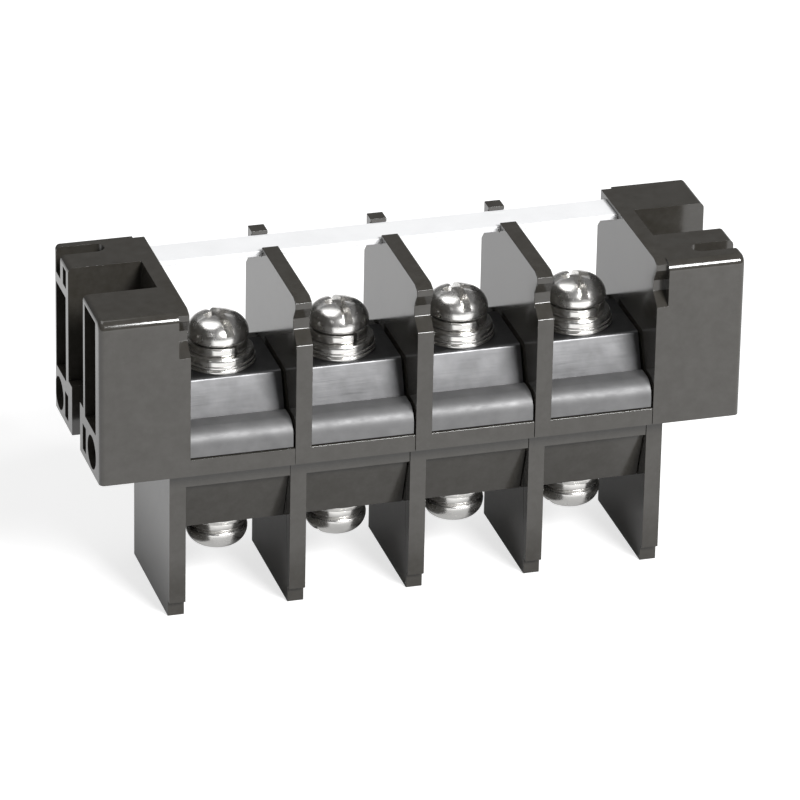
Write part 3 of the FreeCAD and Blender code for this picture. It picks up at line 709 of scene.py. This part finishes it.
# Patch of the floor, under and behind the object, where a shadow is painted into the floor's glow in
# reflections, in metres
PAINTED_SHADOW_HALF_LENGTH = 0.038
PAINTED_SHADOW_MIDDLE = 0.024
PAINTED_SHADOW_HALF_DEPTH = 0.046
PAINTED_SHADOW_EDGE = 0.012


def glow_with_painted_shadow(tree):
    """Light of the floor in reflections, with a painted shadow: weak in a patch under and behind the object,
    full beyond.
    """
    coordinates = tree.nodes.new("ShaderNodeTexCoord")
    parts = tree.nodes.new("ShaderNodeSeparateXYZ")
    tree.links.new(coordinates.outputs["Object"], parts.inputs["Vector"])
    across = maths(tree, "ABSOLUTE", parts.outputs["X"])
    back = maths(tree, "ABSOLUTE", maths(tree, "SUBTRACT", parts.outputs["Y"], PAINTED_SHADOW_MIDDLE))
    beside = maths(tree, "SUBTRACT", across, PAINTED_SHADOW_HALF_LENGTH)
    behind = maths(tree, "SUBTRACT", back, PAINTED_SHADOW_HALF_DEPTH)
    outside = maths(tree, "MAXIMUM", beside, behind)
    return map_range(tree, outside, 0.0, PAINTED_SHADOW_EDGE, FLOOR_IN_PAINTED_SHADOW, FLOOR_IN_GLOSS)


def floor_in_view(tree):
    """Light of the floor as the camera sees it: a little stronger far out, where the lamps fade."""
    coordinates = tree.nodes.new("ShaderNodeTexCoord")
    distance = tree.nodes.new("ShaderNodeVectorMath")
    distance.operation = "LENGTH"
    tree.links.new(coordinates.outputs["Object"], distance.inputs[0])
    length = distance.outputs["Value"]
    return map_range(tree, length, FLOOR_NEAR, FLOOR_FAR, FLOOR_IN_VIEW, FLOOR_FAR_IN_VIEW)


def make_floor():
    mesh = bpy.data.meshes.new("floor")
    half = FLOOR_HALF_SIDE
    corners = [(-half, -half, 0), (half, -half, 0), (half, half, 0), (-half, half, 0)]
    mesh.from_pydata(corners, [], [(0, 1, 2, 3)])
    floor = bpy.data.objects.new("floor", mesh)
    scene.collection.objects.link(floor)
    floor.location.z = FLOOR_HEIGHT
    material, tree, shader = new_material("floor")
    shader.inputs["Base Color"].default_value = (FLOOR_COLOUR, FLOOR_COLOUR, FLOOR_COLOUR, 1)
    shader.inputs["Roughness"].default_value = FLOOR_ROUGH
    rays = tree.nodes.new("ShaderNodeLightPath").outputs
    mirrored = maths(tree, "MAXIMUM", rays["Is Glossy Ray"], rays["Is Transmission Ray"])
    # Reflections see the floor's glow with the painted shadow patch under and behind the object
    in_mirrors = maths(tree, "MULTIPLY", mirrored, glow_with_painted_shadow(tree))
    strength = maths(tree, "MULTIPLY_ADD", rays["Is Camera Ray"], floor_in_view(tree), in_mirrors)
    shader.inputs["Emission Color"].default_value = WHITE_LIGHT
    tree.links.new(strength, shader.inputs["Emission Strength"])
    mesh.materials.append(material)


def make_world():
    world = bpy.data.worlds.new("studio")
    scene.world = world
    world.use_nodes = True
    tree = world.node_tree
    background = tree.nodes["Background"]
    background.inputs["Color"].default_value = WHITE_LIGHT
    rays = tree.nodes.new("ShaderNodeLightPath").outputs
    strength = map_range(tree, rays["Is Camera Ray"], 0.0, 1.0, AMBIENT, 1.0)
    tree.links.new(strength, background.inputs["Strength"])


# Lamps, with their places and sizes in metres
LAMP_AIM = Vector((0, 0, 0.03))
OVERHEAD_PLACE = (-0.35, 0.25, 1.25)
OVERHEAD_SIZE = (0.9, 0.8)
OVERHEAD_POWER = 4.0
KEY_AZIMUTH = 22
KEY_ELEVATION = 38
KEY_DISTANCE = 1.4
KEY_SIZE = (0.5, 0.4)
KEY_POWER = 26.0


def around(azimuth, elevation, distance):
    """Place by its azimuth from the front towards +X, its elevation and its distance."""
    turn, rise = math.radians(azimuth), math.radians(elevation)
    level = distance * math.cos(rise)
    return (level * math.sin(turn), -level * math.cos(turn), distance * math.sin(rise))


def area_light(name, place, size, power):
    data = bpy.data.lights.new(name, "AREA")
    data.shape = "RECTANGLE"
    data.size, data.size_y = size
    data.energy = power
    lamp = bpy.data.objects.new(name, data)
    scene.collection.objects.link(lamp)
    lamp.location = place
    lamp.rotation_mode = "QUATERNION"
    lamp.rotation_quaternion = (LAMP_AIM - Vector(place)).to_track_quat("-Z", "Y")


# Camera, at the photograph's place
CAMERA_PLACE = Vector((-264.455, -889.85, 480.946)) * MM
CAMERA_AIM = Vector((0.021, -1.8, 29.058)) * MM
CAMERA_ROLL = math.radians(1.123)
CAMERA_LENS = 285.8
SENSOR_WIDTH = 36.0
NEAREST = 0.05
FURTHEST = 100.0


def make_camera():
    """Camera with the small roll that the photograph has."""
    forward = (CAMERA_AIM - CAMERA_PLACE).normalized()
    level = forward.cross(Vector((0, 0, 1))).normalized()
    upright = level.cross(forward)
    right = level * math.cos(CAMERA_ROLL) + upright * math.sin(CAMERA_ROLL)
    up = upright * math.cos(CAMERA_ROLL) - level * math.sin(CAMERA_ROLL)
    data = bpy.data.cameras.new("camera")
    data.lens = CAMERA_LENS
    data.sensor_width = SENSOR_WIDTH
    data.clip_start = NEAREST
    data.clip_end = FURTHEST
    camera = bpy.data.objects.new("camera", data)
    scene.collection.objects.link(camera)
    turn = Matrix((right, up, -forward)).transposed()
    camera.matrix_world = Matrix.Translation(CAMERA_PLACE) @ turn.to_4x4()
    scene.camera = camera


make_floor()
make_world()
area_light("overhead", OVERHEAD_PLACE, OVERHEAD_SIZE, OVERHEAD_POWER)
area_light("key", around(KEY_AZIMUTH, KEY_ELEVATION, KEY_DISTANCE), KEY_SIZE, KEY_POWER)
make_camera()
scene.view_settings.view_transform = "Standard"
